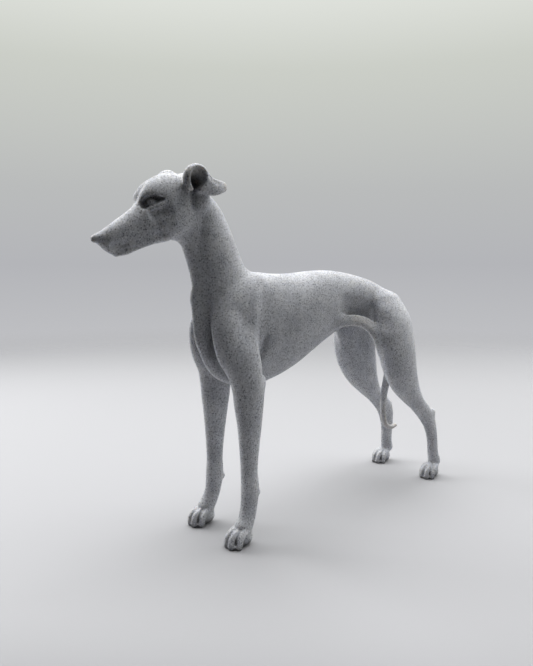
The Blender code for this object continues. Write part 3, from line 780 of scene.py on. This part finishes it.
def printed_figure():
    """The fine skin as an object, fitted to the solid's box."""
    points, quads = sculpt().skin()
    mesh = bpy.data.meshes.new("whippet_skin")
    mesh.from_pydata((points * SHARE).tolist(), [], quads.tolist())
    figure = bpy.data.objects.new("whippet_skin", mesh)
    bpy.context.scene.collection.objects.link(figure)
    thin_out(figure)
    fit_to_solid(figure)
    figure.data.shade_smooth()
    return figure


def thin_out(figure):
    """Keeps only as many triangles as the form needs."""
    mesh = bmesh.new()
    mesh.from_mesh(figure.data)
    bmesh.ops.triangulate(mesh, faces=mesh.faces)
    mesh.to_mesh(figure.data)
    faces = len(mesh.faces)
    mesh.free()
    if faces <= MOST_TRIANGLES:
        return
    thinning = figure.modifiers.new("thinning", "DECIMATE")
    thinning.ratio = MOST_TRIANGLES / faces
    seen = figure.evaluated_get(bpy.context.evaluated_depsgraph_get())
    thin = bpy.data.meshes.new_from_object(seen)
    figure.modifiers.clear()
    figure.data = thin


def fit_to_solid(figure):
    """Stands the skin on its soles inside the solid's box, and levels the soles."""
    low, high = (np.array(corner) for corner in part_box("whippet"))
    points = np.empty(3 * len(figure.data.vertices))
    figure.data.vertices.foreach_get("co", points)
    points = points.reshape(-1, 3)
    size = points.max(axis=0) - points.min(axis=0)
    points *= min(1.0, ((high - low) / size).min())
    points += (low + high) / 2 - (points.min(axis=0) + points.max(axis=0)) / 2
    points[:, 2] += low[2] - points[:, 2].min()
    figure.data.vertices.foreach_set("co", points.ravel())
    figure.data.update()


# Marble-effect plastic

# The pale ground, its clouds, the dark specks and grains, the light grains, the painted shade in the
# hollows, and a painted cream glow where light would come through thin plastic.
PALE = (0.56, 0.57, 0.60, 1.0)
CLOUD = (0.44, 0.45, 0.485, 1.0)
SPECK = (0.045, 0.05, 0.065, 1.0)
GLINT = (0.86, 0.87, 0.90, 1.0)
# The next colour is painted shade: near-black laid into the hollows, where shadow falls.
PAINTED_SHADE = (0.05, 0.048, 0.045, 1.0)
# The next colour is a painted glow: cream laid on thin places, as if light came through them.
PAINTED_CREAM_GLOW = (0.66, 0.60, 0.50, 1.0)
# How strongly each of them covers what is under it.
DARK_GRAIN_SHARE = 0.55
LIGHT_GRAIN_SHARE = 0.45
SPECK_SHARE = 0.7
# The next share is that of the painted shade in the hollows.
PAINTED_SHADE_SHARE = 0.85
# The next share is that of the painted cream glow on thin places.
PAINTED_CREAM_GLOW_SHARE = 0.4
# Where in the noise a cover begins, and where it is full.
CLOUDS_BETWEEN = (0.38, 0.66)
DARK_GRAINS_BETWEEN = (0.52, 0.72)
LIGHT_GRAINS_BETWEEN = (0.46, 0.30)
# Sizes on the print, in metres: a printed layer, the clouds, the grains and the depth of the relief.
LAYER = 0.0002
CLOUD_SIZE = 0.009
GRAIN_SIZE = 0.0006
RELIEF = 0.00006
# Two sizes of speck: the cell that holds one, its radius as a share of the cell, and the share of
# the cells that have one.
SPECK_CELLS = ((0.0009, 0.28, 0.50), (0.0006, 0.32, 0.60))
# By chance a speck's radius is from this share of that one to a whole radius more. Its edge is soft.
SPECK_LEAST = 0.35
SPECK_EDGE = 0.08
# How far the plastic is looked at for hollows, and for thin places, and how much light is left there
# where the painted shade or the painted glow begins, and where it is full.
HOLLOW_REACH = 0.010
HOLLOW_BETWEEN = (0.74, 0.25)
THIN_REACH = 0.0035
THIN_BETWEEN = (0.35, 0.05)
OCCLUSION_SAMPLES = 8
# Where the layer lines count beside the grains, and how rough the plastic is from grain to grain.
LAYER_SHARE = 0.25
RELIEF_STRENGTH = 0.25
ROUGHNESS = (0.5, 0.72)
# Light in the plastic: its share, its reach in metres, and how far red, green and blue get.
GLOW_SHARE = 0.4
GLOW_REACH = 0.0016
GLOW_COLOURS = (1.0, 0.85, 0.6)


class Shading:
    """A small helper that adds nodes to a material and links them."""

    def __init__(self, name):
        self.material = bpy.data.materials.new(name)
        self.material.use_nodes = True
        self.nodes = self.material.node_tree.nodes
        self.links = self.material.node_tree.links
        self.shader = self.nodes["Principled BSDF"]

    def node(self, kind, inputs=None, **settings):
        """Adds a node. Each input is a value, or the output that is linked to it."""
        made = self.nodes.new("ShaderNode" + kind)
        for key, value in settings.items():
            setattr(made, key, value)
        for key, value in (inputs or {}).items():
            if isinstance(value, bpy.types.NodeSocket):
                self.links.new(value, made.inputs[key])
            else:
                made.inputs[key].default_value = value
        return made

    def math(self, operation, first, second=0.0):
        return self.node("Math", {0: first, 1: second}, operation=operation).outputs[0]

    def ramp(self, value, start, end):
        """Runs smoothly from 0 at start to 1 at end."""
        inputs = {"Value": value, "From Min": start, "From Max": end}
        return self.node("MapRange", inputs, interpolation_type="SMOOTHSTEP").outputs["Result"]

    def blend(self, share, first, second):
        """The first colour, covered by this share of the second."""
        made = self.node("Mix", data_type="RGBA")
        for index, value in ((0, share), (6, first), (7, second)):
            if isinstance(value, bpy.types.NodeSocket):
                self.links.new(value, made.inputs[index])
            else:
                made.inputs[index].default_value = value
        return made.outputs[2]


def specks(shading, place, cell, radius, share):
    """1 inside the round specks, which only a share of the cells have."""
    cells = shading.node("TexVoronoi", {"Vector": place, "Scale": 1 / cell})
    chance = shading.node("SeparateColor", {"Color": cells.outputs["Color"]})
    reach = shading.math("MULTIPLY", chance.outputs["Green"], radius)
    reach = shading.math("ADD", reach, radius * SPECK_LEAST)
    edge = shading.math("SUBTRACT", reach, cells.outputs["Distance"])
    inside = shading.ramp(edge, 0.0, SPECK_EDGE)
    present = shading.math("LESS_THAN", chance.outputs["Red"], share)
    return shading.math("MULTIPLY", inside, present)


def marble_plastic():
    """Pale clouded plastic with dark specks, with painted shade in its hollows and a painted cream glow
    where it is thin.
    """
    shading = Shading("marble_plastic_print")
    place = shading.node("TexCoord").outputs["Object"]
    grains = shading.node("TexNoise", {"Vector": place, "Scale": 1 / GRAIN_SIZE, "Detail": 2.0})
    colour = speckled_colour(shading, place, grains)
    colour = paint_glow_and_shade(shading, colour)
    shading.links.new(colour, shading.shader.inputs["Base Color"])
    print_relief(shading, place, grains)
    spread = {"From Min": 0.3, "From Max": 0.7, "To Min": ROUGHNESS[0], "To Max": ROUGHNESS[1]}
    rough = shading.node("MapRange", {"Value": grains.outputs["Fac"], **spread})
    shading.links.new(rough.outputs["Result"], shading.shader.inputs["Roughness"])
    shading.shader.inputs["Subsurface Weight"].default_value = GLOW_SHARE
    shading.shader.inputs["Subsurface Radius"].default_value = GLOW_COLOURS
    shading.shader.inputs["Subsurface Scale"].default_value = GLOW_REACH
    return shading.material


def speckled_colour(shading, place, grains):
    """The clouded ground under dark and light grains and two sizes of speck."""
    wisps = {"Vector": place, "Scale": 1 / CLOUD_SIZE, "Detail": 5.0, "Roughness": 0.6}
    clouds = shading.node("TexNoise", wisps)
    cloud = shading.ramp(clouds.outputs["Fac"], *CLOUDS_BETWEEN)
    colour = shading.blend(cloud, PALE, CLOUD)
    dark_grain = shading.ramp(grains.outputs["Fac"], *DARK_GRAINS_BETWEEN)
    colour = shading.blend(shading.math("MULTIPLY", dark_grain, DARK_GRAIN_SHARE), colour, SPECK)
    light_grain = shading.ramp(grains.outputs["Fac"], *LIGHT_GRAINS_BETWEEN)
    colour = shading.blend(shading.math("MULTIPLY", light_grain, LIGHT_GRAIN_SHARE), colour, GLINT)
    for cell, radius, share in SPECK_CELLS:
        mask = specks(shading, place, cell, radius, share)
        colour = shading.blend(shading.math("MULTIPLY", mask, SPECK_SHARE), colour, SPECK)
    return colour


def paint_glow_and_shade(shading, colour):
    """Paints a cream glow on the thin places, as if light came through them, and paints shade into the
    hollows.
    """
    # Painted glow: where the plastic is thin, its colour is painted cream, as if light came through it.
    around = {"Distance": THIN_REACH}
    thickness = shading.node("AmbientOcclusion", around, samples=OCCLUSION_SAMPLES, inside=True)
    thin = shading.ramp(thickness.outputs["AO"], *THIN_BETWEEN)
    colour = shading.blend(shading.math("MULTIPLY", thin, PAINTED_CREAM_GLOW_SHARE), colour, PAINTED_CREAM_GLOW)
    # Painted shade: the more the plastic round a point hides it, the darker its colour is painted.
    around = {"Distance": HOLLOW_REACH}
    hollow = shading.node("AmbientOcclusion", around, samples=OCCLUSION_SAMPLES)
    painted_shade = shading.ramp(hollow.outputs["AO"], *HOLLOW_BETWEEN)
    return shading.blend(shading.math("MULTIPLY", painted_shade, PAINTED_SHADE_SHARE), colour, PAINTED_SHADE)


def print_relief(shading, place, grains):
    """The faint layer lines of the print, and the grain of its skin."""
    height = shading.node("SeparateXYZ", {"Vector": place}).outputs["Z"]
    layers = shading.math("SINE", shading.math("MULTIPLY", height, 2 * math.pi / LAYER))
    relief = shading.math("MULTIPLY", layers, LAYER_SHARE)
    relief = shading.math("ADD", relief, grains.outputs["Fac"])
    bump = shading.node("Bump", {"Height": relief, "Strength": RELIEF_STRENGTH, "Distance": RELIEF})
    shading.links.new(bump.outputs["Normal"], shading.shader.inputs["Normal"])


# The studio

# The floor is a disc that is solid up to one radius and gone at another, in metres.
FLOOR_COLOUR = (0.385, 0.385, 0.40, 1.0)
FLOOR_ROUGHNESS = 0.7
FLOOR_SOLID_TO = 0.28
FLOOR_GONE_AT = 0.85
# In front of the figure, along the line that the photograph was taken on, it ends sooner.
FRONT_SOLID_TO = 0.08
FRONT_GONE_AT = 0.19
# Where the photographer stands, seen from the figure: degrees round from the nose, towards its
# left. The camera looks down by the pitch.
CAMERA_AZIMUTH = 50.25
CAMERA_PITCH = 6.64
CAMERA_PLACE = (0.1940, -0.1761, 0.1121)
CAMERA_LENS = 31.9
CAMERA_SENSOR = 36.0
CAMERA_NEAREST = 0.01
# The colour of the light tent by the sine of the angle above the horizon.
TENT_LEVELS = (
    (-1.0, (0.62, 0.62, 0.65)),
    (-0.12, (0.52, 0.525, 0.545)),
    (0.0, (0.456, 0.462, 0.485)),
    (0.12, (0.49, 0.50, 0.50)),
    (0.30, (0.60, 0.62, 0.575)),
    (0.5, (0.9, 0.92, 0.88)),
    (1.0, (1.2, 1.2, 1.2)),
)
# The darkest side of the tent, by the same measure as the camera's, and how much it leans down.
# The tent keeps its full light up to one share of that direction, and is darkest from another on.
DARK_AZIMUTH = 36.0
DARK_LEAN = 0.8
FULL_LIGHT_TO = -0.65
DARKEST_FROM = 0.05
DARKEST_LIGHT = 0.02
# Softboxes: name, place, the point it is turned to, its width in metres and its power in watts.
SOFTBOXES = (
    ("roof", (-0.08, 0.08, 0.6), (0, 0, 0.1), 0.5, 3.6),
    ("right", (0.03, 0.69, 0.28), (0, 0.02, 0.09), 0.3, 1.2),
    ("left", (-0.50, -0.23, 0.35), (0, 0.0, 0.1), 0.3, 1.9),
)


def studio_floor():
    """A pale disc that fades out, so that no edge shows."""
    bpy.ops.mesh.primitive_circle_add(vertices=128, radius=FLOOR_GONE_AT, fill_type="NGON")
    floor = bpy.context.object
    floor.name = "floor"
    shading = Shading("floor_paper")
    shading.shader.inputs["Base Color"].default_value = FLOOR_COLOUR
    shading.shader.inputs["Roughness"].default_value = FLOOR_ROUGHNESS
    place = shading.node("TexCoord").outputs["Object"]
    away = shading.node("VectorMath", {0: place}, operation="LENGTH").outputs["Value"]
    around = shading.ramp(away, FLOOR_GONE_AT, FLOOR_SOLID_TO)
    azimuth = math.radians(CAMERA_AZIMUTH)
    front = (math.sin(azimuth), -math.cos(azimuth), 0.0)
    ahead = shading.node("VectorMath", {0: place, 1: front}, operation="DOT_PRODUCT").outputs["Value"]
    behind = shading.ramp(ahead, FRONT_GONE_AT, FRONT_SOLID_TO)
    shading.links.new(shading.math("MULTIPLY", around, behind), shading.shader.inputs["Alpha"])
    floor.data.materials.append(shading.material)


def studio_light():
    """A light tent: a bright roof, a grey wall, and less light from in front of the figure."""
    world = bpy.data.worlds.new("light_tent")
    bpy.context.scene.world = world
    world.use_nodes = True
    nodes, links = world.node_tree.nodes, world.node_tree.links
    way = nodes.new("ShaderNodeTexCoord").outputs["Generated"]
    background = nodes["Background"]
    links.new(tent_colour(nodes, links, way), background.inputs["Color"])
    links.new(tent_strength(nodes, links, way), background.inputs["Strength"])


def tent_colour(nodes, links, way):
    """The colour of the tent, which changes with the height above the horizon."""
    split = nodes.new("ShaderNodeSeparateXYZ")
    links.new(way, split.inputs[0])
    ramp = nodes.new("ShaderNodeValToRGB")
    lift = nodes.new("ShaderNodeMapRange")
    lift.inputs["From Min"].default_value = -1.0
    links.new(split.outputs["Z"], lift.inputs["Value"])
    links.new(lift.outputs["Result"], ramp.inputs["Fac"])
    while len(ramp.color_ramp.elements) < len(TENT_LEVELS):
        ramp.color_ramp.elements.new(0.5)
    for element, (sine, colour) in zip(ramp.color_ramp.elements, TENT_LEVELS):
        element.position = (sine + 1) / 2
        element.color = (*colour, 1.0)
    return ramp.outputs["Color"]


def tent_strength(nodes, links, way):
    """The brightness of the tent, which is least in front of the figure and below it."""
    azimuth = math.radians(DARK_AZIMUTH)
    side = nodes.new("ShaderNodeVectorMath")
    side.operation = "DOT_PRODUCT"
    side.inputs[1].default_value = (math.sin(azimuth), -math.cos(azimuth), -DARK_LEAN)
    links.new(way, side.inputs[0])
    dim = nodes.new("ShaderNodeMapRange")
    dim.interpolation_type = "SMOOTHSTEP"
    dim.inputs["From Min"].default_value = FULL_LIGHT_TO
    dim.inputs["From Max"].default_value = DARKEST_FROM
    dim.inputs["To Min"].default_value = 1.0
    dim.inputs["To Max"].default_value = DARKEST_LIGHT
    links.new(side.outputs["Value"], dim.inputs["Value"])
    return dim.outputs["Result"]


def softbox(name, place, target, size, power):
    """A square lamp that faces the target."""
    lamp = bpy.data.lights.new(name, "AREA")
    lamp.size = size
    lamp.energy = power
    made = bpy.data.objects.new(name, lamp)
    made.location = place
    made.rotation_euler = (Vector(target) - Vector(place)).to_track_quat("-Z", "Y").to_euler()
    bpy.context.scene.collection.objects.link(made)


def photo_camera():
    """The camera of the photograph."""
    lens = bpy.data.cameras.new("camera")
    lens.lens = CAMERA_LENS
    lens.sensor_width = CAMERA_SENSOR
    lens.clip_start = CAMERA_NEAREST
    camera = bpy.data.objects.new("camera", lens)
    camera.location = CAMERA_PLACE
    camera.rotation_euler = (math.radians(90 - CAMERA_PITCH), 0.0, math.radians(CAMERA_AZIMUTH))
    bpy.context.scene.collection.objects.link(camera)
    bpy.context.scene.camera = camera


figure = printed_figure()
figure.data.materials.clear()
figure.data.materials.append(marble_plastic())
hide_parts("whippet")
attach(figure, "root")
studio_floor()
studio_light()
for lamp in SOFTBOXES:
    softbox(*lamp)
photo_camera()
bpy.context.scene.view_settings.view_transform = "Standard"
